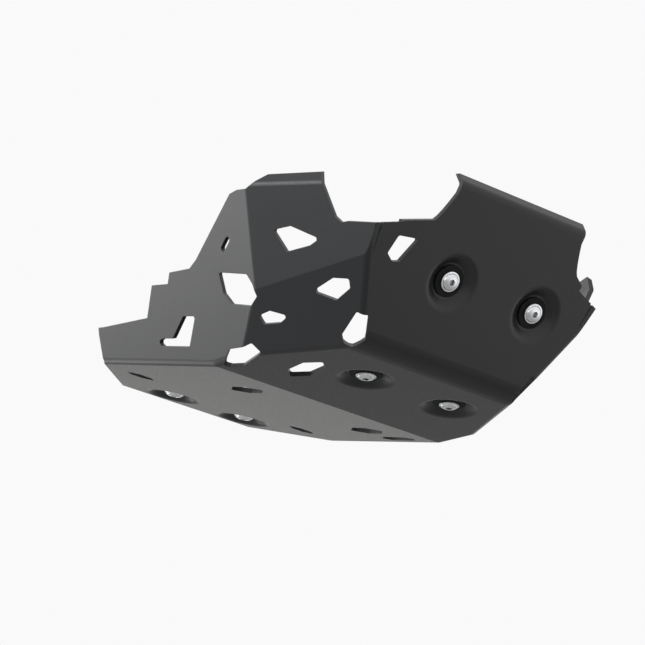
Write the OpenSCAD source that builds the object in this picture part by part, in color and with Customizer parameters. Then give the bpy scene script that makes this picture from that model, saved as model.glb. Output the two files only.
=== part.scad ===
/* [Sheet] */
// Thickness of the folded aluminium sheet
sheet = 4; // [3:0.5:5]
// Inside radius of the sharp folds
fold_r = 3; // [2:0.5:5]
// Inside radius of the wide bend between slope and front
front_bend_r = 22; // [12:1:28]
// Corner radius of the laser-cut holes
hole_r = 1.8; // [1:0.2:2.4]

/* [Belly] */
// Distance from the rear screws forward to the fold between belly and slope
belly_len = 202; // [190:1:216]
// Distance from the rear screws back to the rear edge
tail_len = 27; // [25:0.5:34]
// Half width of the rear edge, right side
tail_right = 76; // [66:1:90]
// Half width of the rear edge, left side
tail_left = 66; // [64:1:80]
// Distance from the rear screws forward to the rear end of the sides
side_start = 50; // [44:1:56]
// How much wider the belly is at the rear end of the sides than the front at the bend line, each side
belly_wider = 47.4; // [43:0.2:53]
// How much narrower the left side is than the right side
left_in = 37; // [30:1:42]

/* [Slope and front] */
// Angle of the slope above the belly
slope_angle = 11.8; // [10:0.2:14]
// Level distance from the belly fold to the front bend
slope_run = 133; // [128:1:140]
// Angle of the front panel above the belly
front_angle = 69.6; // [66:0.2:74]
// Length of the front panel from the bend line to the lip
front_len = 149; // [140:1:158]
// Half width of the front at the bend line, right side
front_right = 101.6; // [99:0.2:106]
// Half width of the lip, right side
lip_right = 76.5; // [72:0.5:82]
// Half width of the lip, left side
lip_left = 58; // [50:0.5:60]
// Length of the lip that is bent back
lip_len = 13; // [9:0.5:18]
// How far the lip is bent back from the front panel
lip_turn = 62; // [40:1:75]

/* [Sides] */
// Turn of the rear side panel toward the front
rear_turn = 2.6; // [1:0.2:5]
// Outward lean of the rear side panel
rear_lean = 22; // [18:0.5:25]
// Turn of the upper facet toward the front
upper_turn = 25.2; // [23:0.2:28]
// Outward lean of the upper facet
upper_lean = 19.8; // [18:0.2:22]
// Turn of the lower facet toward the front
lower_turn = 30.1; // [28:0.2:33]
// Outward lean of the lower facet
lower_lean = 30.5; // [28:0.5:33]
// Height along the front panel at which the slit between front and side ends
corner_rise = 70.2; // [66:0.2:74]
// Height of the low step at the rear of the side, along the panel
step_low = 30; // [26:0.5:36]
// Height of the ledge behind the tall part, along the panel
ledge_high = 66; // [58:1:72]
// Height of the top of the tall part, along the panel
tower_high = 140; // [134:1:146]
// Distance of the tall part's front edge behind the end of the slit
tower_front = 48; // [44:1:54]
// Height of the ear in front of the pipes above the end of the slit
ear_high = 23.5; // [20:0.5:26]
// How far the top of the upper facet is bent inward
tower_lip_turn = 35; // [20:1:45]

/* [Screws] */
// Thread diameter of the screws
screw_d = 8; // [6:0.5:8.5]
// Length of a screw under its head
screw_len = 35; // [30:1:45]
// Diameter of the flange under the head
flange_d = 17; // [15:0.5:19]
// Sideways distance of the front and slope screws from the middle
front_pitch = 45.2; // [42:0.2:48]
// Sideways distance of the rear screws from the middle
rear_pitch = 39.1; // [36:0.2:44]
// Height of the front screws along the front panel
front_screw_up = 72.2; // [68:0.2:80]
// Distance of the slope screws along the slope
slope_screw_up = 76.5; // [70:0.5:84]

/* [Bushes] */
// Diameter of the pressed dimples at the outer face
dimple_d = 45; // [42:0.5:48]
// Depth of the pressed dimples
dimple_depth = 6; // [4:0.5:7]
// Diameter of the flat floor of a dimple
dimple_floor_d = 31; // [29:0.5:33]
// Diameter of the rubber bush's outer flange
bush_d = 27; // [25:0.5:28]
// Diameter of the hole that the bush sits in
bush_hole_d = 18; // [17:0.5:20]
// Thickness of each flange of the bush
bush_flange = 2; // [1.5:0.1:2.5]
// Outside diameter of the steel sleeve in the bush
sleeve_d = 12; // [11.5:0.1:13]
// Diameter of the washer on the inside
washer_d = 24; // [22:0.5:26]
// Thickness of the washer on the inside
washer_thick = 1.6; // [1.2:0.1:2.5]
// Play between a screw and what it passes through
screw_play = 0.2; // [0.1:0.05:0.3]
// Play between the bush and the hole, and the bush and the sleeve
bush_play = 0.1; // [0.05:0.05:0.2]

/* [Hidden] */
PLACES = ["front_right", "front_left", "slope_right", "slope_left", "rear_right", "rear_left"];
KINDS = ["screw", "bush", "sleeve", "washer"];

$fn = 64;
far = 700;
skin = 0.01;
corner_flats = 3;

// A plane is [outward normal, distance from the origin along it]
function unit(v) = v / norm(v);
function base_normal(pitch) = [sin(pitch), 0, -cos(pitch)];
function side_normal(turn, lean) = [sin(turn) * cos(lean), -cos(turn) * cos(lean), -sin(lean)];
function plane(normal, point) = [normal, normal * point];
function moved_in(p, inset) = [p[0], p[1] - inset];
function meet(a, b, c) =
    (a[1] * cross(b[0], c[0]) + b[1] * cross(c[0], a[0]) + c[1] * cross(a[0], b[0]))
    / (a[0] * cross(b[0], c[0]));

// How far inside the outer face a washer meets what the plate is screwed to
seat_deep = dimple_depth + sheet + bush_flange + washer_thick;

// Half width of the belly at the rear end of the sides, right side
belly_right = front_right + belly_wider;

// Plain neck of a screw, from its flange to the washer's seat, thinner than the thread
neck_len = sheet + 2 * bush_flange + washer_thick;
neck_in = 0.9;

// Reference points on the outer faces, right side. The origin lies between the rear washers' seats.
belly_o = [0, 0, -seat_deep];
slope_o = belly_o + [belly_len, 0, 0];
front_o = slope_o + slope_run * [1, 0, tan(slope_angle)];
front_up = [cos(front_angle), 0, sin(front_angle)];
lip_o = front_o + front_len * front_up;
rear_o = belly_o + [side_start, -belly_right, 0];
low_corner = front_o + [0, -front_right, 0];

// Outer faces
belly_plane = plane(base_normal(0), belly_o);
slope_plane = plane(base_normal(slope_angle), slope_o);
front_plane = plane(base_normal(front_angle), front_o);
lip_plane = plane(base_normal(front_angle + lip_turn), lip_o);
rear_plane = plane(side_normal(rear_turn, rear_lean), rear_o);
lower_plane = plane(side_normal(lower_turn, lower_lean), low_corner);

// The corner where the upper and lower facets reach the front panel
rise_plane = plane(front_up, front_o + corner_rise * front_up);
high_corner = meet(lower_plane, front_plane, rise_plane);
upper_plane = plane(side_normal(upper_turn, upper_lean), high_corner);
crease_low = meet(rear_plane, upper_plane, lower_plane);
keel_corner = meet(rear_plane, lower_plane, slope_plane);

// Coordinates of a point in a side panel's own frame: forward, up
function side_xy(p, o, turn, lean) = let (
    n = side_normal(turn, lean),
    ahead = [cos(turn), sin(turn), 0],
    up = cross(n, ahead)
) [(p - o) * ahead, (p - o) * up];

// The crease between rear panel and upper facet, seen in both frames
crease_top = meet(rear_plane, upper_plane, plane([0, 0, 1], [0, 0, far]));
crease_in_rear = [for (p = [crease_low, crease_top]) side_xy(p, rear_o, rear_turn, rear_lean)];
crease_in_upper = [for (p = [crease_low, crease_top]) side_xy(p, high_corner, upper_turn, upper_lean)];
function at_height(line, h) = line[0] + (line[1] - line[0]) * (h - line[0].y) / (line[1].y - line[0].y);
rear_tower = at_height(crease_in_rear, tower_high + 1.5);
tower_point = rear_o + rear_tower.x * [cos(rear_turn), sin(rear_turn), 0]
    + rear_tower.y * cross(side_normal(rear_turn, rear_lean), [cos(rear_turn), sin(rear_turn), 0]);
upper_tower = side_xy(tower_point, high_corner, upper_turn, upper_lean);

// The upper facet's lip: where it folds, and at what slant
tower_lip_o = upper_tower + [14, 5.4];
tower_lip_slant = 6.5;
tower_lip_len = 16;

// Coordinates of a point on the front panel: up along it, out to the right
function front_xy(p) = [(p - front_o) * front_up, -p.y];
ear_plane = plane(front_up, front_o + (corner_rise + ear_high + 3) * front_up);

// How far a cut reaches to each side of a panel's trimmed edge, a corner and the lip
trim_reach = 22;
corner_reach = 26;
lip_reach = 30;

// Dimples: how much wider they are on the inside, and outer radii at the rim and round the floor
dimple_wall = 0.45 * sheet;
dimple_r = 6.5;
floor_r = 3;

// Head of the screws above the flange
flange_thick = 1.5;
head_high = 2.5;
socket_af = 5;
socket_deep = 3;

// A place's row is its name up to the line, and its side is the rest
function place_is_right(place) = place[len(place) - 1] == "t" && place[len(place) - 2] == "h";
function place_row(place) = place[0] == "f" ? "front" : place[0] == "s" ? "slope" : "rear";

// Moves what follows onto a panel: x runs up or forward along it, z points out of it
module on_base(o, pitch) { translate(o) rotate([180, -pitch, 0]) children(); }
module on_side(o, turn, lean) { translate(o) rotate([90 + lean, 0, turn]) children(); }
module on_tower_lip() {
    on_side(high_corner, upper_turn, upper_lean)
        translate([tower_lip_o.x, tower_lip_o.y, 0])
            rotate([-tower_lip_turn, 0, tower_lip_slant]) children();
}
tower_lip_plane = let (
    n = side_normal(upper_turn, upper_lean),
    ahead = [cos(upper_turn), sin(upper_turn), 0],
    up = cross(n, ahead),
    o = high_corner + tower_lip_o.x * ahead + tower_lip_o.y * up,
    across = up * cos(tower_lip_slant) - ahead * sin(tower_lip_slant)
) plane(n * cos(tower_lip_turn) + across * sin(tower_lip_turn), o);

// Draws its children once on the right and once, mirrored and further in, on the left
module both_sides() {
    children();
    translate([0, -left_in, 0]) mirror([0, 1, 0]) children();
}

module frame_at(o, x, y, z) {
    multmatrix([
        [x.x, y.x, z.x, o.x],
        [x.y, y.y, z.y, o.y],
        [x.z, y.z, z.z, o.z],
        [0, 0, 0, 1]
    ]) children();
}

// What lies outside a face that was moved in by inset
module outside(inset) { translate([-far, -far, -inset]) cube([2 * far, 2 * far, far]); }

// What is cut off the edge between two faces to round it with radius r
module fold_cut(face_a, face_b, near, r, inset) {
    a = moved_in(face_a, inset);
    b = moved_in(face_b, inset);
    along = unit(cross(a[0], b[0]));
    inward = -unit(a[0] + b[0]);
    half_turn = acos(a[0] * b[0]) / 2;
    centre = r / cos(half_turn);
    reach = centre - r * cos(half_turn);
    frame_at(meet(a, b, plane(along, near)), inward, cross(along, inward), along)
        linear_extrude(2 * far, center = true)
            difference() {
                translate([-r - 9, -r - 9]) square([reach + r + 9, 2 * (r + 9)]);
                translate([centre, 0]) circle(r + skin, $fn = 96);
            }
}

// The solid inside all faces moved in by inset, with its folds rounded
module bowl(inset) {
    grow = inset > 0 ? 30 : 0;
    r = fold_r + sheet - inset;
    wide = front_bend_r + sheet - inset;
    difference() {
        translate([-tail_len - grow, -far / 2, belly_o.z - 5])
            cube([far, far, lip_o.z - belly_o.z + lip_len + grow]);
        on_base(belly_o, 0) outside(inset);
        on_base(slope_o, slope_angle) outside(inset);
        on_base(front_o, front_angle) outside(inset);
        on_base(lip_o, front_angle + lip_turn) outside(inset);
        both_sides() {
            on_side(rear_o, rear_turn, rear_lean) outside(inset);
            on_side(low_corner, lower_turn, lower_lean) outside(inset);
            on_side(high_corner, upper_turn, upper_lean) outside(inset);
            on_tower_lip() outside(inset);
            fold_cut(rear_plane, belly_plane, rear_o, r, inset);
            fold_cut(rear_plane, slope_plane, keel_corner, r, inset);
            fold_cut(rear_plane, lower_plane, crease_low, r, inset);
            fold_cut(rear_plane, upper_plane, crease_low, r, inset);
            fold_cut(upper_plane, lower_plane, crease_low, r, inset);
            fold_cut(lower_plane, slope_plane, keel_corner, r, inset);
            fold_cut(lower_plane, front_plane, low_corner, r, inset);
            fold_cut(upper_plane, tower_lip_plane, high_corner, r, inset);
        }
        fold_cut(belly_plane, slope_plane, slope_o, r, inset);
        fold_cut(slope_plane, front_plane, front_o, wide, inset);
        fold_cut(front_plane, lip_plane, lip_o, r, inset);
    }
}

// Points of an arc of radius r, drawn in short flats, at a corner between two of its neighbours
function arc_at(before, corner, after, r) = let (
    back = unit(before - corner),
    ahead = unit(after - corner),
    half = acos(back * ahead) / 2,
    start = corner + back * r / tan(half),
    end = corner + ahead * r / tan(half),
    middle = corner + unit(back + ahead) * r / sin(half)
) [for (k = [0:corner_flats])
    middle + r * unit((start - middle) * (corner_flats - k) + (end - middle) * k)];

// A convex outline with an arc of radius r at every corner
module rounded(points, r) {
    n = len(points);
    polygon([for (i = [0:n - 1])
        each arc_at(points[(i + n - 1) % n], points[i], points[(i + 1) % n], r)]);
}

// Six-sided window with pointed ends
module window(length, width, nose) {
    x = length / 2;
    y = width / 2;
    rounded([[x, 0], [x - nose, y], [nose - x, y], [-x, 0], [nose - x, -y], [x - nose, -y]], hole_r);
}

// Slot with round ends from a to b
module slot(a, b, width) {
    along = b - a;
    x = (norm(along) + width) / 2;
    y = width / 2;
    translate((a + b) / 2) rotate(atan2(along.y, along.x))
        rounded([[x, y], [-x, y], [-x, -y], [x, -y]], 0.95 * y);
}

// Cuts an outline through one panel, from a little outside to a little inside
module through(depth = sheet + 5) { translate([0, 0, -depth]) linear_extrude(depth + 5) children(); }

// Cuts an outline through a corner where several panels meet, depth mm under the sharp corner
module corner_hole(corner, faces, under) {
    out = unit([for (i = [0:2]) [for (f = faces) f[0][i]] * [for (f = faces) 1]]);
    side = unit(cross([0, 0, 1], out));
    frame_at(corner - under * out, side, cross(out, side), out)
        translate([0, 0, -corner_reach])
            linear_extrude(2 * corner_reach) children();
}

// What is cut away behind the sides, leaving the belly's rear tongue
module rear_trim() {
    edge = side_start - 3;
    translate([0, 0, -far / 2]) linear_extrude(far)
        polygon([
            [-far, -far], [edge, -far], [edge, -belly_right - 9], [side_start, -belly_right],
            [-tail_len, -tail_right], [-far, -tail_right]
        ]);
    translate([0, 0, -far / 2]) linear_extrude(far)
        polygon([
            [-far, far], [edge, far], [edge, belly_right - left_in + 9],
            [side_start, belly_right - left_in], [-tail_len, tail_left], [-far, tail_left]
        ]);
}

// What is cut away above the rear side panel, up to the crease
module rear_side_trim() {
    on_side(rear_o, rear_turn, rear_lean) through(trim_reach)
        polygon([
            [-far, step_low], [0, step_low], [67, step_low + 8.5],
            [77, ledge_high - 0.5], [99, ledge_high + 0.5], [102.5, ledge_high + 10],
            [130, ledge_high + 13], [139.5, ledge_high + 20],
            [rear_tower.x - 21, tower_high - 2], [rear_tower.x - 11, tower_high + 1],
            rear_tower, [rear_tower.x, far], [-far, far]
        ]);
}

// What is cut away above the upper facet, from the crease to the front
module upper_side_trim() {
    crease = crease_in_upper[1] - crease_in_upper[0];
    crease_slope = crease.x / crease.y;
    on_side(high_corner, upper_turn, upper_lean) through(trim_reach)
        polygon([
            upper_tower, upper_tower + [8, 7], upper_tower + [17, 12.8],
            [-tower_front, upper_tower.y + 19], [2 - tower_front, upper_tower.y + 15],
            [-31, ear_high + 2.5], [-25, ear_high - 1.8], [-19.5, ear_high - 0.3],
            [12, ear_high + 1.3], [40, ear_high + 2.6], [far, far],
            upper_tower + [crease_slope * far, far]
        ]);
}

// What is cut away beside the front panel above the corner, leaving the slit: a straight edge from the
// slit, then a curve up to the lip of half width half_lip. narrower is how much closer in the side is.
// What the sides would leave beside the lip goes too.
module front_trim(half_lip, narrower) {
    slit_low = front_xy(meet(moved_in(upper_plane, sheet), front_plane, rise_plane));
    slit_high = front_xy(meet(moved_in(upper_plane, sheet), front_plane, ear_plane));
    o = -high_corner.y - narrower;
    ear = corner_rise + ear_high;
    curve_low = [ear + 19.8, half_lip + 10];
    curve_high = [front_len - 10, half_lip];
    through(sheet + 0.6)
        polygon([
            slit_low - [3, narrower], slit_high - [-2, narrower], [slit_high.x + 2, far],
            [far, far], [far, half_lip],
            for (t = [1, 0.69, 0.4, 0.14, 0]) [
                curve_low.x + t * (curve_high.x - curve_low.x),
                curve_low.y + pow(t, 0.72) * (curve_high.y - curve_low.y)
            ],
            [ear + 6.3, o - 5.5], [ear + 4.8, o - 2], [ear - 1.7, o - 1.5]
        ]);
    through(lip_reach) {
        translate([curve_high.x, curve_high.y]) square(far);
        translate([ear + trim_reach, half_lip + trim_reach]) square(far);
    }
}

// All the outlines cut through the sheet on one side
module side_holes() {
    rear_side_trim();
    upper_side_trim();
    on_tower_lip()
        translate([-far, tower_lip_len, -trim_reach]) cube([far + 130, far, 2 * trim_reach]);
    on_side(rear_o, rear_turn, rear_lean) through() {
        rounded([[116.5, 40], [132.5, 40], [122, 15], [94, 15]], hole_r);
        rounded([[80, 18.5], [86, 21.5], [104, 21.5], [110, 15], [85, 15]], hole_r);
        slot([176.5, 94.5], [183, 101.5], 5);
    }
    on_side(high_corner, upper_turn, upper_lean) through()
        rounded([[-85.5, 10], [-70, 14.5], [-43.5, 7], [-51.5, 1], [-72, -6]], hole_r);
    on_side(low_corner, lower_turn, lower_lean) through() {
        rounded([[-41.5, 39], [-23.5, 52.5], [-10, 53.5], [-9, 46], [-21, 34.5]], hole_r);
        rounded([[-88.5, 12.5], [-78.5, 18], [-62.5, 16], [-69.5, 9], [-84, 6]], hole_r);
    }
    corner_hole(crease_low, [rear_plane, upper_plane, lower_plane], 1) rounded([
        [-45, 8.5], [-10.5, 11], [-3.5, 4], [1, -5.5], [-5.5, -14], [-29, -15.5], [-39, -8]
    ], hole_r);
    corner_hole(low_corner, [lower_plane, front_plane, slope_plane], 9) rounded([
        [-15, -0.5], [-10.5, 23.5], [-1, 23.5], [3, 3], [-4, -6], [-12, -5.5]
    ], hole_r);
}

// The hole at the corner of the belly, which only the right side has
module keel_hole() {
    corner_hole(keel_corner, [rear_plane, lower_plane, slope_plane, belly_plane], 2) rounded([
        [-25, -18], [-14.5, 0], [10, 9.5], [18, 2.5], [6.5, -7], [-12, -22], [-22, -22]
    ], hole_r);
}

// Moves what follows to a screw: z points out along it, from the panel's outer face
module at_place(place) {
    y = place_is_right(place) ? 1 : -1;
    if (place_row(place) == "front")
        on_base(front_o, front_angle) translate([front_screw_up, y * front_pitch, 0]) children();
    if (place_row(place) == "slope")
        on_base(slope_o, slope_angle) translate([slope_screw_up, y * front_pitch, 0]) children();
    if (place_row(place) == "rear")
        on_base(belly_o, 0) translate([0, y * rear_pitch, 0]) children();
}

// Turned section of a pressed dimple below a face at height top, wider than the outer face's by wider.
// The rim and the edge of the floor are rounded, and it runs on above the face by above.
module dimple_section(top, wider, rim_r, floor_r, above) {
    middle = [0, top - dimple_depth];
    floor_edge = [dimple_floor_d / 2 + wider, top - dimple_depth];
    rim = [dimple_d / 2 + wider, top];
    rotate_extrude()
        polygon([
            middle,
            each arc_at(middle, floor_edge, rim, floor_r),
            each arc_at(floor_edge, rim, rim + [far, 0], rim_r),
            rim + [rim_r, above], [0, top + above]
        ]);
}

// What a dimple adds on the inside of the sheet, sunk a little into the sheet
module dimple_outside() {
    dimple_section(-sheet, dimple_wall, dimple_r - sheet, floor_r + sheet, sheet / 4);
}

// What a dimple and the hole for its bush take away
module dimple_inside() {
    dimple_section(0, 0, dimple_r, floor_r, 5);
    translate([0, 0, -far / 20]) cylinder(far / 20, d = bush_hole_d);
}

module skid_plate() {
    color("#26272a")
    difference() {
        union() {
            difference() {
                bowl(0);
                bowl(sheet);
                both_sides() side_holes();
                keel_hole();
                on_base(front_o, front_angle) {
                    front_trim(lip_right, 0);
                    mirror([0, 1, 0]) front_trim(lip_left, left_in);
                    through() rounded([[92, 112], [76, 115], [71, 107.5], [73, 101], [95, 92.5]], hole_r);
                }
                on_base(slope_o, slope_angle) through()
                    translate([56, 90.5]) rotate(8) window(50, 21, 13);
                on_base(belly_o, 0) through() {
                    for (y = [-66, 66]) translate([147, y]) window(45, 20, 14);
                    for (y = [-107.5 + left_in, 107.5]) translate([47, y]) rotate(90) window(30, 13, 9);
                    translate([160, left_in - 129]) window(46, 11, 8);
                }
                rear_trim();
            }
            for (place = PLACES) at_place(place) dimple_outside();
        }
        for (place = PLACES) at_place(place) dimple_inside();
    }
}

// Rubber bush with a flange on each face of the sheet
module bush() {
    outer = bush_flange - dimple_depth;
    inner = -dimple_depth - sheet - bush_flange;
    color("#1a1a1a")
    difference() {
        union() {
            translate([0, 0, -dimple_depth]) cylinder(bush_flange, d = bush_d);
            translate([0, 0, inner]) cylinder(outer - inner, d = bush_hole_d - 2 * bush_play);
            translate([0, 0, inner]) cylinder(bush_flange, d = bush_d);
        }
        translate([0, 0, inner - 1]) cylinder(outer - inner + 2, d = sleeve_d + 2 * bush_play);
    }
}

// Steel sleeve that keeps the rubber from being crushed
module sleeve() {
    length = sheet + 2 * bush_flange;
    color("#b9bdc2")
    translate([0, 0, -dimple_depth - sheet - bush_flange])
        difference() {
            cylinder(length, d = sleeve_d);
            translate([0, 0, -1]) cylinder(length + 2, d = screw_d + 2 * screw_play);
        }
}

// Washer that holds the bush and sleeve on the inside
module washer() {
    color("#aeb2b7")
    translate([0, 0, -seat_deep])
        difference() {
            cylinder(washer_thick, d = washer_d);
            translate([0, 0, -1]) cylinder(washer_thick + 2, d = screw_d + 2 * screw_play);
        }
}

// Button head screw with a flange and a hexagon socket
module screw() {
    head_r = 0.42 * flange_d;
    dome_r = (head_r * head_r + head_high * head_high) / (2 * head_high) + 1.2;
    color("#c8ccd1")
    translate([0, 0, bush_flange - dimple_depth])
        difference() {
            union() {
                translate([0, 0, -neck_len]) cylinder(neck_len, d = screw_d - neck_in);
                translate([0, 0, -screw_len + 1]) cylinder(screw_len - 1 - neck_len, d = screw_d);
                translate([0, 0, -screw_len]) cylinder(1, d1 = screw_d - 2, d2 = screw_d);
                cylinder(flange_thick, d = flange_d);
                translate([0, 0, flange_thick])
                    rotate_extrude()
                        intersection() {
                            translate([0, head_high - dome_r]) circle(dome_r);
                            square([head_r, head_high]);
                        }
            }
            translate([0, 0, flange_thick + head_high - socket_deep])
                cylinder(socket_deep + 1, d = socket_af / cos(30), $fn = 6);
        }
}

module fastener(kind, place) {
    at_place(place) {
        if (kind == "screw") screw();
        if (kind == "bush") bush();
        if (kind == "sleeve") sleeve();
        if (kind == "washer") washer();
    }
}

skid_plate();
for (kind = KINDS) for (place = PLACES)
    fastener(kind, place);
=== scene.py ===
"""Skid plate: one folded aluminium sheet on six rubber mounted screws, seen from low on its right."""

import math

import bmesh
import bpy
from mathutils import Matrix, Vector


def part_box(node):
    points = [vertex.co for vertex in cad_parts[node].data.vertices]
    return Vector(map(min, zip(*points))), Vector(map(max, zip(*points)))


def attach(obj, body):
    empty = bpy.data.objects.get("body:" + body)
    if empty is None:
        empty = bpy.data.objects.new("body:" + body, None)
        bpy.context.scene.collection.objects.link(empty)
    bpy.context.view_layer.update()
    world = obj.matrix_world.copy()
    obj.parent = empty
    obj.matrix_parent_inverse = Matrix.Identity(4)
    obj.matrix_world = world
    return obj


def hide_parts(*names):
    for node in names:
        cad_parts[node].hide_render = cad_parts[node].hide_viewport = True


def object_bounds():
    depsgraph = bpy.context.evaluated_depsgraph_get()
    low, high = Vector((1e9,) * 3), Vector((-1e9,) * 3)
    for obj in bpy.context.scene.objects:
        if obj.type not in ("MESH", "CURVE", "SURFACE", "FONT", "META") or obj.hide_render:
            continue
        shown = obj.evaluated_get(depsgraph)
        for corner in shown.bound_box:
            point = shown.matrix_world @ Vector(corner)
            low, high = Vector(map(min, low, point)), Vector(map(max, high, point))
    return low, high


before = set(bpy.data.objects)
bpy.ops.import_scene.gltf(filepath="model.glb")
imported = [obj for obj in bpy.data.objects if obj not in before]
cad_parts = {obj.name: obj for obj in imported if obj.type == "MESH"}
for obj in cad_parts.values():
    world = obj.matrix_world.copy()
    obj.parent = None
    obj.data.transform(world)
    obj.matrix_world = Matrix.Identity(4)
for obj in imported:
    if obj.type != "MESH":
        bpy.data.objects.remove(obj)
cad_box = [list(corner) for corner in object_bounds()]
MM = 0.001


# Skid plate
# The plate is laser cut from one 4 mm aluminium sheet, folded into a belly, a slope, a front and two
# faceted sides, pressed with six dimples, and then powder coated in fine textured satin black.

def new_finish(name):
    """A node material with its shader and its Object coordinates."""
    finish = bpy.data.materials.new(name)
    finish.use_nodes = True
    nodes = finish.node_tree.nodes
    nodes.clear()
    shader = nodes.new("ShaderNodeBsdfPrincipled")
    output = nodes.new("ShaderNodeOutputMaterial")
    finish.node_tree.links.new(shader.outputs["BSDF"], output.inputs["Surface"])
    place = nodes.new("ShaderNodeTexCoord").outputs["Object"]
    return finish, shader, place


def add(tree, kind, values=None, **settings):
    """Adds a node, sets what it is told and links what it is fed."""
    node = tree.nodes.new(kind)
    for setting, value in settings.items():
        setattr(node, setting, value)
    for socket, value in (values or {}).items():
        if isinstance(value, bpy.types.NodeSocket):
            tree.links.new(value, node.inputs[socket])
        else:
            node.inputs[socket].default_value = value
    return node


def noise(tree, place, scale, detail=2.0, roughness=0.5):
    values = {"Vector": place, "Scale": scale, "Detail": detail, "Roughness": roughness}
    return add(tree, "ShaderNodeTexNoise", values).outputs["Fac"]


def spread(tree, factor, low, high, from_low=0.3, from_high=0.7):
    """Maps a factor to the range between two values."""
    values = {"Value": factor, "From Min": from_low, "From Max": from_high, "To Min": low, "To Max": high}
    return add(tree, "ShaderNodeMapRange", values).outputs["Result"]


MIX_FACTOR = 0
MIX_FIRST_COLOUR = 6
MIX_SECOND_COLOUR = 7
MIX_COLOUR_OUT = 2


def blend_colours(tree, factor, first, second):
    """Mixes two colours, each a value or a socket. The Mix node's colour sockets share their names."""
    mix = add(tree, "ShaderNodeMix", data_type="RGBA")
    tree.links.new(factor, mix.inputs[MIX_FACTOR])
    for number, colour in ((MIX_FIRST_COLOUR, first), (MIX_SECOND_COLOUR, second)):
        socket = mix.inputs[number]
        if isinstance(colour, bpy.types.NodeSocket):
            tree.links.new(colour, socket)
        else:
            socket.default_value = (*colour, 1.0)
    return mix.outputs[MIX_COLOUR_OUT]


COAT_BLACK = (0.0205, 0.0210, 0.0225)
COAT_GREY = (0.0245, 0.0250, 0.0265)
# Lighter colour on the edges: partly the thinner coat there, partly a painted highlight of light catching
# the edges
THIN_COAT_AND_HIGHLIGHT_ON_EDGES = (0.075, 0.075, 0.077)
EDGE_ROUNDING = 0.7 * MM
EDGE_FULL_AT = 0.80
EDGE_GONE_AT = 0.985
COAT_CLOUDS = 9.0
CLOUD_RANGE = (0.3, 0.7)
COAT_SHEEN = 420.0
COAT_ROUGHNESS = (0.37, 0.43)
COAT_GRAIN = 900.0
COAT_FLOW = 260.0
COAT_RELIEF = 0.05 * MM
COAT_RELIEF_STRENGTH = 0.28

powder_coat, coat, place = new_finish("satin_black_powder_coat")
tree = powder_coat.node_tree
rounded_edge = add(tree, "ShaderNodeBevel", {"Radius": EDGE_ROUNDING}, samples=6).outputs["Normal"]
flat_face = add(tree, "ShaderNodeNewGeometry").outputs["Normal"]
same_way = add(tree, "ShaderNodeVectorMath", {0: rounded_edge, 1: flat_face}, operation="DOT_PRODUCT")
# Edges are painted lighter: the coat is thinner there, and the lighter colour also stands in as a painted
# highlight along the cut edges
edge_coat_and_highlight = spread(tree, same_way.outputs["Value"], 1.0, 0.0, EDGE_FULL_AT, EDGE_GONE_AT)
cloudy = spread(tree, noise(tree, place, COAT_CLOUDS), *CLOUD_RANGE)
body_colour = blend_colours(tree, cloudy, COAT_BLACK, COAT_GREY)
tree.links.new(blend_colours(tree, edge_coat_and_highlight, body_colour, THIN_COAT_AND_HIGHLIGHT_ON_EDGES), coat.inputs["Base Color"])
sheen = spread(tree, noise(tree, place, COAT_SHEEN, detail=3.0), *COAT_ROUGHNESS)
tree.links.new(sheen, coat.inputs["Roughness"])
grain = noise(tree, place, COAT_GRAIN, roughness=0.6)
flow = noise(tree, place, COAT_FLOW, detail=1.0)
height = add(tree, "ShaderNodeMath", {0: grain, 1: flow}, operation="ADD").outputs["Value"]
relief = {"Strength": COAT_RELIEF_STRENGTH, "Distance": COAT_RELIEF, "Height": height}
relief["Normal"] = rounded_edge
tree.links.new(add(tree, "ShaderNodeBump", relief).outputs["Normal"], coat.inputs["Normal"])

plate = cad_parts["skid_plate"]
plate.data.materials.clear()
plate.data.materials.append(powder_coat)


# Rubber bushes
# Each screw goes through a black rubber bush with a flange on both faces of the sheet. The bush is
# moulded in one piece and pressed into the hole in the floor of its dimple.

SLOPE_ANGLE = math.radians(11.8)
FRONT_ANGLE = math.radians(69.6)
PANEL_ANGLES = {"front": FRONT_ANGLE, "slope": SLOPE_ANGLE, "rear": 0.0}
PLACES = [f"{row}_{side}" for row in PANEL_ANGLES for side in ("right", "left")]
# Depths are measured along a screw, inward from the outer face of its panel
SEAT_DEPTH = 13.6 * MM
WASHER_THICKNESS = 1.6 * MM


def screw_places():
    """Six vertices on the outer face, one for each screw, that know which way is out."""
    points, outward = [], []
    for place_name in PLACES:
        angle = PANEL_ANGLES[place_name.split("_")[0]]
        out = Vector((math.sin(angle), 0, -math.cos(angle)))
        low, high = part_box(f"washer_{place_name}")
        points.append((low + high) / 2 + out * (SEAT_DEPTH - WASHER_THICKNESS / 2))
        outward.append(out)
    mesh = bpy.data.meshes.new("screw_places")
    mesh.from_pydata(points, [], [])
    stored = mesh.attributes.new("outward", "FLOAT_VECTOR", "POINT")
    stored.data.foreach_set("vector", [value for out in outward for value in out])
    return mesh


def start_tree(name, sizes):
    """A Geometry Nodes tree with a named input for each size, and the sockets of those inputs."""
    tree = bpy.data.node_groups.new(name, "GeometryNodeTree")
    tree.interface.new_socket("Places", in_out="INPUT", socket_type="NodeSocketGeometry")
    for size, value in sizes.items():
        kind = "NodeSocketInt" if isinstance(value, int) else "NodeSocketFloat"
        tree.interface.new_socket(size, in_out="INPUT", socket_type=kind).default_value = value
    tree.interface.new_socket("Finish", in_out="INPUT", socket_type="NodeSocketMaterial")
    tree.interface.new_socket("Parts", in_out="OUTPUT", socket_type="NodeSocketGeometry")
    return tree, tree.nodes.new("NodeGroupInput").outputs


def sum_of(tree, first, second):
    return add(tree, "ShaderNodeMath", {0: first, 1: second}, operation="ADD").outputs["Value"]


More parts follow.
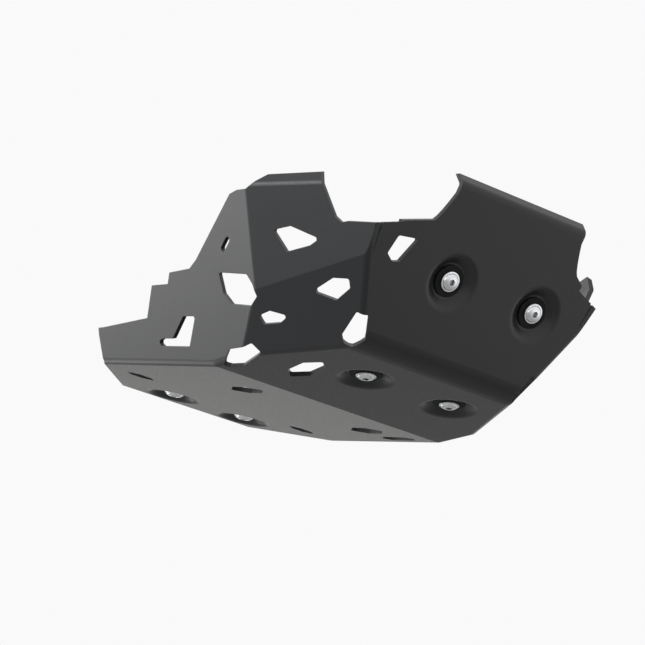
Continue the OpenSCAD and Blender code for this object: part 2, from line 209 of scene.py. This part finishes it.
def less(tree, first, second):
    return add(tree, "ShaderNodeMath", {0: first, 1: second}, operation="SUBTRACT").outputs["Value"]


def corner_point(tree, corner):
    """A (radius, depth) corner of a section as a vector."""
    return add(tree, "ShaderNodeCombineXYZ", {"X": corner[0], "Y": corner[1]}).outputs["Vector"]


TURNED_SEGMENTS = 64
FILLET_STEPS = 3
DOME_STEPS = 8
WELD = 0.001 * MM
# The circle that a section is swept round, with the section moved in by as much
HUB = 10 * MM


def turned(tree, corners, rounding, closed, dome=None):
    """Revolves a section about the screw's axis. Depth runs inward, so height is minus depth."""
    points = [corner_point(tree, corner) for corner in corners]
    next_points = points[1:] + points[:1] if closed else points[1:]
    lines = []
    for start, end in zip(points, next_points):
        values = {"Start": start, "End": end}
        if dome is not None and not lines:
            values["Middle"] = corner_point(tree, dome)
            values["Resolution"] = DOME_STEPS
            lines.append(add(tree, "GeometryNodeCurveQuadraticBezier", values).outputs["Curve"])
        else:
            lines.append(add(tree, "GeometryNodeCurvePrimitiveLine", values).outputs["Curve"])
    joined = add(tree, "GeometryNodeJoinGeometry")
    for line in lines:
        tree.links.new(line, joined.inputs["Geometry"])
    wire = add(tree, "GeometryNodeCurveToMesh", {"Curve": joined.outputs["Geometry"]}).outputs["Mesh"]
    merged = add(tree, "GeometryNodeMergeByDistance", {"Geometry": wire, "Distance": WELD})
    section = add(tree, "GeometryNodeMeshToCurve", {"Mesh": merged.outputs["Geometry"]}).outputs["Curve"]
    values = {"Curve": section, "Count": FILLET_STEPS, "Radius": rounding, "Limit Radius": True}
    fillet = add(tree, "GeometryNodeFilletCurve", values, mode="POLY")
    moved = {"Geometry": fillet.outputs["Curve"], "Translation": (-HUB, 0, 0)}
    section = add(tree, "GeometryNodeTransform", moved).outputs["Geometry"]
    values = {"Resolution": TURNED_SEGMENTS, "Radius": HUB}
    circle = add(tree, "GeometryNodeCurvePrimitiveCircle", values)
    path = add(tree, "GeometryNodeSetCurveNormal", {"Curve": circle.outputs["Curve"]}, mode="Z_UP")
    swept = {"Curve": path.outputs["Curve"], "Profile Curve": section}
    solid = add(tree, "GeometryNodeCurveToMesh", swept).outputs["Mesh"]
    values = {"Geometry": solid, "Distance": WELD}
    return add(tree, "GeometryNodeMergeByDistance", values).outputs["Geometry"]


def at_each_place(tree, sockets, part):
    """Puts the part at every place, pointing out of the sheet, as one mesh in its finish."""
    outward = add(tree, "GeometryNodeInputNamedAttribute", {"Name": "outward"}, data_type="FLOAT_VECTOR")
    outward_vector = next(socket for socket in outward.outputs if socket.enabled)
    turn = add(tree, "FunctionNodeAlignRotationToVector", {"Vector": outward_vector}, axis="Z")
    values = {"Points": sockets["Places"], "Instance": part, "Rotation": turn.outputs["Rotation"]}
    placed = add(tree, "GeometryNodeInstanceOnPoints", values).outputs["Instances"]
    real = add(tree, "GeometryNodeRealizeInstances", {"Geometry": placed}).outputs["Geometry"]
    values = {"Geometry": real, "Material": sockets["Finish"]}
    finished = add(tree, "GeometryNodeSetMaterial", values).outputs["Geometry"]
    tree.links.new(finished, tree.nodes.new("NodeGroupOutput").inputs["Parts"])


LAST_WELD = 0.0005 * MM
SMOOTH_UNDER = math.radians(32)


def made_by(tree, name, finish, stands_for):
    """Runs a tree at the six places and keeps its result as one plain mesh."""
    maker = bpy.data.objects.new(name, screw_places())
    bpy.context.scene.collection.objects.link(maker)
    modifier = maker.modifiers.new("made", "NODES")
    modifier.node_group = tree
    sockets = {item.name: item.identifier for item in tree.interface.items_tree if item.in_out == "INPUT"}
    modifier[sockets["Finish"]] = finish
    result = bpy.data.meshes.new_from_object(maker.evaluated_get(bpy.context.evaluated_depsgraph_get()))
    maker.modifiers.remove(modifier)
    clean = bmesh.new()
    clean.from_mesh(result)
    bmesh.ops.remove_doubles(clean, verts=clean.verts, dist=LAST_WELD)
    bmesh.ops.recalc_face_normals(clean, faces=clean.faces)
    clean.to_mesh(result)
    clean.free()
    result.shade_smooth()
    result.set_sharp_from_angle(angle=SMOOTH_UNDER)
    maker.data = result
    result.name = name
    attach(maker, "root")
    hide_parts(*[f"{stands_for}_{place_name}" for place_name in PLACES])


RUBBER_BLACK = (0.006, 0.006, 0.006)
RUBBER_GREY = (0.012, 0.012, 0.011)
RUBBER_BLOOM = 60.0
RUBBER_WEAR = 90.0
RUBBER_ROUGHNESS = (0.62, 0.78)
RUBBER_SHINE = 0.25
RUBBER_GRAIN = 700.0
RUBBER_RELIEF = 0.05 * MM
RUBBER_RELIEF_STRENGTH = 0.2

rubber, shader, place = new_finish("moulded_black_rubber")
tree = rubber.node_tree
bloom = spread(tree, noise(tree, place, RUBBER_BLOOM, detail=4.0), 0.0, 1.0)
tree.links.new(blend_colours(tree, bloom, RUBBER_BLACK, RUBBER_GREY), shader.inputs["Base Color"])
wear = spread(tree, noise(tree, place, RUBBER_WEAR, detail=3.0), *RUBBER_ROUGHNESS)
tree.links.new(wear, shader.inputs["Roughness"])
shader.inputs["Specular IOR Level"].default_value = RUBBER_SHINE
grain = noise(tree, place, RUBBER_GRAIN)
relief = {"Strength": RUBBER_RELIEF_STRENGTH, "Distance": RUBBER_RELIEF, "Height": grain}
tree.links.new(add(tree, "ShaderNodeBump", relief).outputs["Normal"], shader.inputs["Normal"])

bush_sizes = {
    "Flange Radius": 13.5 * MM,
    "Core Radius": 8.9 * MM,
    "Bore Radius": 6.1 * MM,
    "Flange Thickness": 2 * MM,
    "Outer Depth": 4 * MM,
    "Inner Depth": 12 * MM,
    "Rounding": 0.6 * MM,
}
bush_tree, size = start_tree("rubber_bush", bush_sizes)
under_outer = sum_of(bush_tree, size["Outer Depth"], size["Flange Thickness"])
over_inner = less(bush_tree, size["Inner Depth"], size["Flange Thickness"])
bush_section = [
    (size["Bore Radius"], size["Outer Depth"]),
    (size["Flange Radius"], size["Outer Depth"]),
    (size["Flange Radius"], under_outer),
    (size["Core Radius"], under_outer),
    (size["Core Radius"], over_inner),
    (size["Flange Radius"], over_inner),
    (size["Flange Radius"], size["Inner Depth"]),
    (size["Bore Radius"], size["Inner Depth"]),
]
at_each_place(bush_tree, size, turned(bush_tree, bush_section, size["Rounding"], closed=True))
made_by(bush_tree, "rubber_bushes", rubber, "bush")


# Steel sleeves
# A short zinc plated steel sleeve in each bush stops the screw from crushing the rubber. Only the
# ring between screw and rubber shows on the inside of the plate.

ZINC_LIGHT = (0.56, 0.57, 0.59)
ZINC_DARK = (0.40, 0.41, 0.43)
ZINC_SPANGLE = 220.0
ZINC_WEAR = 120.0
ZINC_ROUGHNESS = (0.30, 0.42)

zinc, shader, place = new_finish("zinc_plated_steel")
tree = zinc.node_tree
spangle = spread(tree, noise(tree, place, ZINC_SPANGLE, detail=4.0), 0.0, 1.0)
tree.links.new(blend_colours(tree, spangle, ZINC_LIGHT, ZINC_DARK), shader.inputs["Base Color"])
wear = spread(tree, noise(tree, place, ZINC_WEAR, detail=3.0), *ZINC_ROUGHNESS)
tree.links.new(wear, shader.inputs["Roughness"])
shader.inputs["Metallic"].default_value = 1.0

for place_name in PLACES:
    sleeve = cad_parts[f"sleeve_{place_name}"]
    sleeve.data.materials.clear()
    sleeve.data.materials.append(zinc)


# Washers
# Behind each bush sits a stamped, zinc plated washer with rounded rims. It spreads the screw's load
# on the rubber, and the plate is seated on its inner face.

washer_sizes = {
    "Outer Radius": 12 * MM,
    "Hole Radius": 4.2 * MM,
    "Front Depth": 12 * MM,
    "Back Depth": SEAT_DEPTH,
    "Rounding": 0.35 * MM,
}
washer_tree, size = start_tree("stamped_washer", washer_sizes)
washer_section = [
    (size["Hole Radius"], size["Front Depth"]),
    (size["Outer Radius"], size["Front Depth"]),
    (size["Outer Radius"], size["Back Depth"]),
    (size["Hole Radius"], size["Back Depth"]),
]
at_each_place(washer_tree, size, turned(washer_tree, washer_section, size["Rounding"], closed=True))
made_by(washer_tree, "washers", zinc, "washer")


# Screws
# Six bright M8 screws with a flanged button head and a hexagon socket, turned and thread rolled.
# They sit in the dimples so that the heads stay above the ground, with their threads on the inside.

STEEL_LIGHT = (0.84, 0.85, 0.87)
STEEL_DARK = (0.70, 0.71, 0.73)
THREAD_LIGHT = (0.52, 0.53, 0.55)
THREAD_DARK = (0.36, 0.37, 0.39)
# Colour for the painted shade inside hex sockets and other recesses of the screws
SOCKET_PAINTED_SHADE = (0.055, 0.053, 0.050)
SHADE_REACH = 4 * MM
SHADE_FULL_AT = 0.25
SHADE_GONE_AT = 0.60
TURNING_MARKS = 400.0
STEEL_WEAR = 150.0
STEEL_ROUGHNESS = (0.24, 0.36)

steel, shader, place = new_finish("bright_screw_steel")
tree = steel.node_tree
turning = spread(tree, noise(tree, place, TURNING_MARKS, detail=3.0), 0.0, 1.0)
turned_steel = blend_colours(tree, turning, STEEL_LIGHT, STEEL_DARK)
rolled_steel = blend_colours(tree, turning, THREAD_LIGHT, THREAD_DARK)
threaded = add(tree, "ShaderNodeAttribute", attribute_name="threaded").outputs["Fac"]
bare_steel = blend_colours(tree, threaded, turned_steel, rolled_steel)
# Painted shade: the steel is darkened where ambient occlusion finds a recess, such as the hex socket
openness = add(tree, "ShaderNodeAmbientOcclusion", {"Distance": SHADE_REACH}, samples=8).outputs["AO"]
painted_shade = spread(tree, openness, 1.0, 0.0, SHADE_FULL_AT, SHADE_GONE_AT)
tree.links.new(blend_colours(tree, painted_shade, bare_steel, SOCKET_PAINTED_SHADE), shader.inputs["Base Color"])
wear = spread(tree, noise(tree, place, STEEL_WEAR, detail=3.0), *STEEL_ROUGHNESS)
tree.links.new(wear, shader.inputs["Roughness"])
shader.inputs["Metallic"].default_value = 1.0

screw_sizes = {
    "Thread Radius": 4.0 * MM,
    "Thread Root": 3.4 * MM,
    "Thread Pitch": 1.25 * MM,
    "Neck Radius": 3.55 * MM,
    "Flange Radius": 8.5 * MM,
    "Head Radius": 7.14 * MM,
    "Flange Top": 2.5 * MM,
    "Flange Depth": 4 * MM,
    "Thread Start": SEAT_DEPTH,
    "Chamfer Depth": 38 * MM,
    "Tip Depth": 39 * MM,
    "Socket Radius": 2.887 * MM,
    "Socket Depth": 3 * MM,
    "Rounding": 0.3 * MM,
}
TIP_TAPER = 0.6 * MM
THREAD_STEPS = 24
BELOW_HEAD = 0.1 * MM

screw_tree, size = start_tree("flanged_screw", screw_sizes)
tip_radius = less(screw_tree, size["Thread Root"], TIP_TAPER)
screw_section = [
    (0.0, 0.0),
    (size["Head Radius"], size["Flange Top"]),
    (size["Flange Radius"], size["Flange Top"]),
    (size["Flange Radius"], size["Flange Depth"]),
    (size["Neck Radius"], size["Flange Depth"]),
    (size["Neck Radius"], size["Thread Start"]),
    (size["Thread Root"], size["Thread Start"]),
    (size["Thread Root"], size["Chamfer Depth"]),
    (tip_radius, size["Tip Depth"]),
    (0.0, size["Tip Depth"]),
]
blank = turned(screw_tree, screw_section, size["Rounding"], closed=False, dome=(size["Head Radius"], 0.0))
socket_cut = add(screw_tree, "GeometryNodeMeshCylinder", {
    "Vertices": 6,
    "Radius": size["Socket Radius"],
    "Depth": sum_of(screw_tree, size["Socket Depth"], size["Socket Depth"]),
}, fill_type="NGON").outputs["Mesh"]
headed = add(screw_tree, "GeometryNodeMeshBoolean", {"Mesh 1": blank, "Mesh 2": socket_cut},
             operation="DIFFERENCE", solver="EXACT").outputs["Mesh"]

# The thread is a four-sided ridge, wound round the core from the washer to the chamfer
thread_length = less(screw_tree, size["Chamfer Depth"], size["Thread Start"])
turns = add(screw_tree, "ShaderNodeMath", {0: thread_length, 1: size["Thread Pitch"]}, operation="DIVIDE")
ridge_height = less(screw_tree, size["Thread Radius"], size["Thread Root"])
ridge_middle = less(screw_tree, size["Thread Radius"], ridge_height)
spiral = add(screw_tree, "GeometryNodeCurveSpiral", {
    "Resolution": THREAD_STEPS,
    "Rotations": turns.outputs["Value"],
    "Start Radius": ridge_middle,
    "End Radius": ridge_middle,
    "Height": thread_length,
}).outputs["Curve"]
spiral = add(screw_tree, "GeometryNodeSetCurveNormal", {"Curve": spiral}, mode="Z_UP").outputs["Curve"]
ridge = add(screw_tree, "GeometryNodeCurvePrimitiveCircle", {"Resolution": 4, "Radius": ridge_height})
values = {"Curve": spiral, "Profile Curve": ridge.outputs["Curve"], "Fill Caps": True}
thread = add(screw_tree, "GeometryNodeCurveToMesh", values).outputs["Mesh"]
lowered = add(screw_tree, "ShaderNodeCombineXYZ", {"Z": less(screw_tree, 0.0, size["Chamfer Depth"])})
values = {"Geometry": thread, "Translation": lowered.outputs["Vector"]}
thread = add(screw_tree, "GeometryNodeTransform", values).outputs["Geometry"]
whole = add(screw_tree, "GeometryNodeJoinGeometry")
for part in (headed, thread):
    screw_tree.links.new(part, whole.inputs["Geometry"])

# All that lies below the head is marked, so that the finish can tell thread from head
position = add(screw_tree, "GeometryNodeInputPosition").outputs["Position"]
height = add(screw_tree, "ShaderNodeSeparateXYZ", {"Vector": position}).outputs["Z"]
under_head = less(screw_tree, less(screw_tree, 0.0, size["Flange Depth"]), BELOW_HEAD)
threaded = add(screw_tree, "ShaderNodeMath", {0: height, 1: under_head}, operation="LESS_THAN")
values = {"Geometry": whole.outputs["Geometry"], "Name": "threaded", "Value": threaded.outputs["Value"]}
marked = add(screw_tree, "GeometryNodeStoreNamedAttribute", values, data_type="FLOAT", domain="POINT")
at_each_place(screw_tree, size, marked.outputs["Geometry"])
made_by(screw_tree, "screws", steel, "screw")


# Studio
# A pale floor under the hanging plate, a pale surround and soft boxes. The camera stands low on the
# right in front, as in the photo, with a longer lens so that the plate fills the frame.

FLOOR_HEIGHT = -2.0
FLOOR_SIZE = 40.0
FLOOR_COLOUR = (0.45, 0.45, 0.45)
FLOOR_PATCHES = 1.2
FLOOR_PATCH_TONE = 0.985
FLOOR_ROUGHNESS = 0.7
SURROUND_COLOUR = (0.95, 0.95, 0.95)
SURROUND_LIGHT = 0.1
# The floor's own light grows with distance, so that it fades into the surround
FLOOR_LIFT_NEAR = 0.23
FLOOR_LIFT_FAR = 0.84
SWEEP_START = 3.5
SWEEP_END = 11.0
COOL = (0.94, 0.98, 1.0)
WARM = (1.0, 0.96, 0.90)


def in_sight(tree):
    """1 for what the camera sees, straight or in a reflection, and 0 for what only lights a surface."""
    path = add(tree, "ShaderNodeLightPath")
    mirrored = sum_of(tree, path.outputs["Is Glossy Ray"], path.outputs["Is Transmission Ray"])
    values = {0: mirrored, 1: path.outputs["Is Camera Ray"]}
    return add(tree, "ShaderNodeMath", values, operation="MAXIMUM").outputs["Value"]


floor_mesh = bpy.data.meshes.new("studio_floor")
half = FLOOR_SIZE / 2
corners = [(-half, -half, FLOOR_HEIGHT), (half, -half, FLOOR_HEIGHT), (half, half, FLOOR_HEIGHT),
           (-half, half, FLOOR_HEIGHT)]
floor_mesh.from_pydata(corners, [], [(0, 1, 2, 3)])
floor = bpy.data.objects.new("studio_floor", floor_mesh)
bpy.context.scene.collection.objects.link(floor)
floor_paint, shader, place = new_finish("pale_floor")
tree = floor_paint.node_tree
patchy = spread(tree, noise(tree, place, FLOOR_PATCHES), 0.0, 1.0)
patch_colour = tuple(FLOOR_PATCH_TONE * value for value in FLOOR_COLOUR)
colour = blend_colours(tree, patchy, FLOOR_COLOUR, patch_colour)
tree.links.new(colour, shader.inputs["Base Color"])
shader.inputs["Roughness"].default_value = FLOOR_ROUGHNESS
shader.inputs["Emission Color"].default_value = (*SURROUND_COLOUR, 1.0)
away = add(tree, "ShaderNodeVectorMath", {0: place}, operation="LENGTH").outputs["Value"]
lift = spread(tree, away, FLOOR_LIFT_NEAR, FLOOR_LIFT_FAR, SWEEP_START, SWEEP_END)
seen_lift = add(tree, "ShaderNodeMath", {0: in_sight(tree), 1: lift}, operation="MULTIPLY")
tree.links.new(seen_lift.outputs["Value"], shader.inputs["Emission Strength"])
floor_mesh.materials.append(floor_paint)

world = bpy.data.worlds.new("surround")
bpy.context.scene.world = world
world.use_nodes = True
tree = world.node_tree
tree.nodes.clear()
strength = spread(tree, in_sight(tree), SURROUND_LIGHT, 1.0, 0.0, 1.0)
surround = add(tree, "ShaderNodeBackground", {"Color": (*SURROUND_COLOUR, 1.0), "Strength": strength})
tree.links.new(surround.outputs["Background"], add(tree, "ShaderNodeOutputWorld").inputs["Surface"])

low, high = (Vector(corner) for corner in cad_box)
middle = (low + high) / 2


def soft_box(name, direction, distance, width, height, watts, colour=(1.0, 1.0, 1.0)):
    """An area light of width by height, in a direction from the middle of the plate, looking back at it."""
    lamp = bpy.data.lights.new(name, "AREA")
    lamp.color = colour
    lamp.shape = "RECTANGLE"
    lamp.size, lamp.size_y = width, height
    lamp.energy = watts
    box = bpy.data.objects.new(name, lamp)
    toward_lamp = Vector(direction).normalized()
    box.location = middle + toward_lamp * distance
    box.rotation_mode = "QUATERNION"
    box.rotation_quaternion = toward_lamp.to_track_quat("Z", "Y")
    box.visible_camera = False
    bpy.context.scene.collection.objects.link(box)


soft_box("overhead_box", (0.1, -0.1, 1.0), 1.4, 1.5, 1.1, 7)
soft_box("rear_right_box", (-0.694, -0.647, -0.12), 3.0, 2.6, 0.7, 29)
soft_box("right_box", (-0.03, -0.91, 0.10), 3.0, 2.0, 1.2, 47, COOL)
soft_box("rear_left_box", (-0.752, 0.6275, -0.10), 3.4, 2.6, 0.7, 4, WARM)
soft_box("front_left_box", (0.70, 0.63, -0.22), 2.2, 1.6, 0.45, 1.3)
soft_box("low_rear_box", (-0.80, -0.22, -0.55), 1.1, 0.6, 0.25, 1.5)

EYE = Vector((2.2251, -1.5157, -0.3945))
LOOKED_AT = Vector((0.178, -0.028, 0.056))
PHOTO_RIGHT = Vector((0.6589, 0.7241, 0.2039))
FOCAL_PIXELS = 3060
FRAME_PIXELS = 645
SENSOR_WIDTH = 36

lens = bpy.data.cameras.new("low_right_camera")
lens.sensor_width = SENSOR_WIDTH
lens.lens = FOCAL_PIXELS / FRAME_PIXELS * lens.sensor_width
lens.clip_start = 0.05
lens.clip_end = 60
camera = bpy.data.objects.new("low_right_camera", lens)
ahead = (LOOKED_AT - EYE).normalized()
right = (PHOTO_RIGHT - ahead * PHOTO_RIGHT.dot(ahead)).normalized()
up = right.cross(ahead)
turn = Matrix((right, up, -ahead)).transposed()
camera.location = EYE
camera.rotation_mode = "QUATERNION"
camera.rotation_quaternion = turn.to_quaternion()
bpy.context.scene.collection.objects.link(camera)
bpy.context.scene.camera = camera

bpy.context.scene.view_settings.view_transform = "Standard"
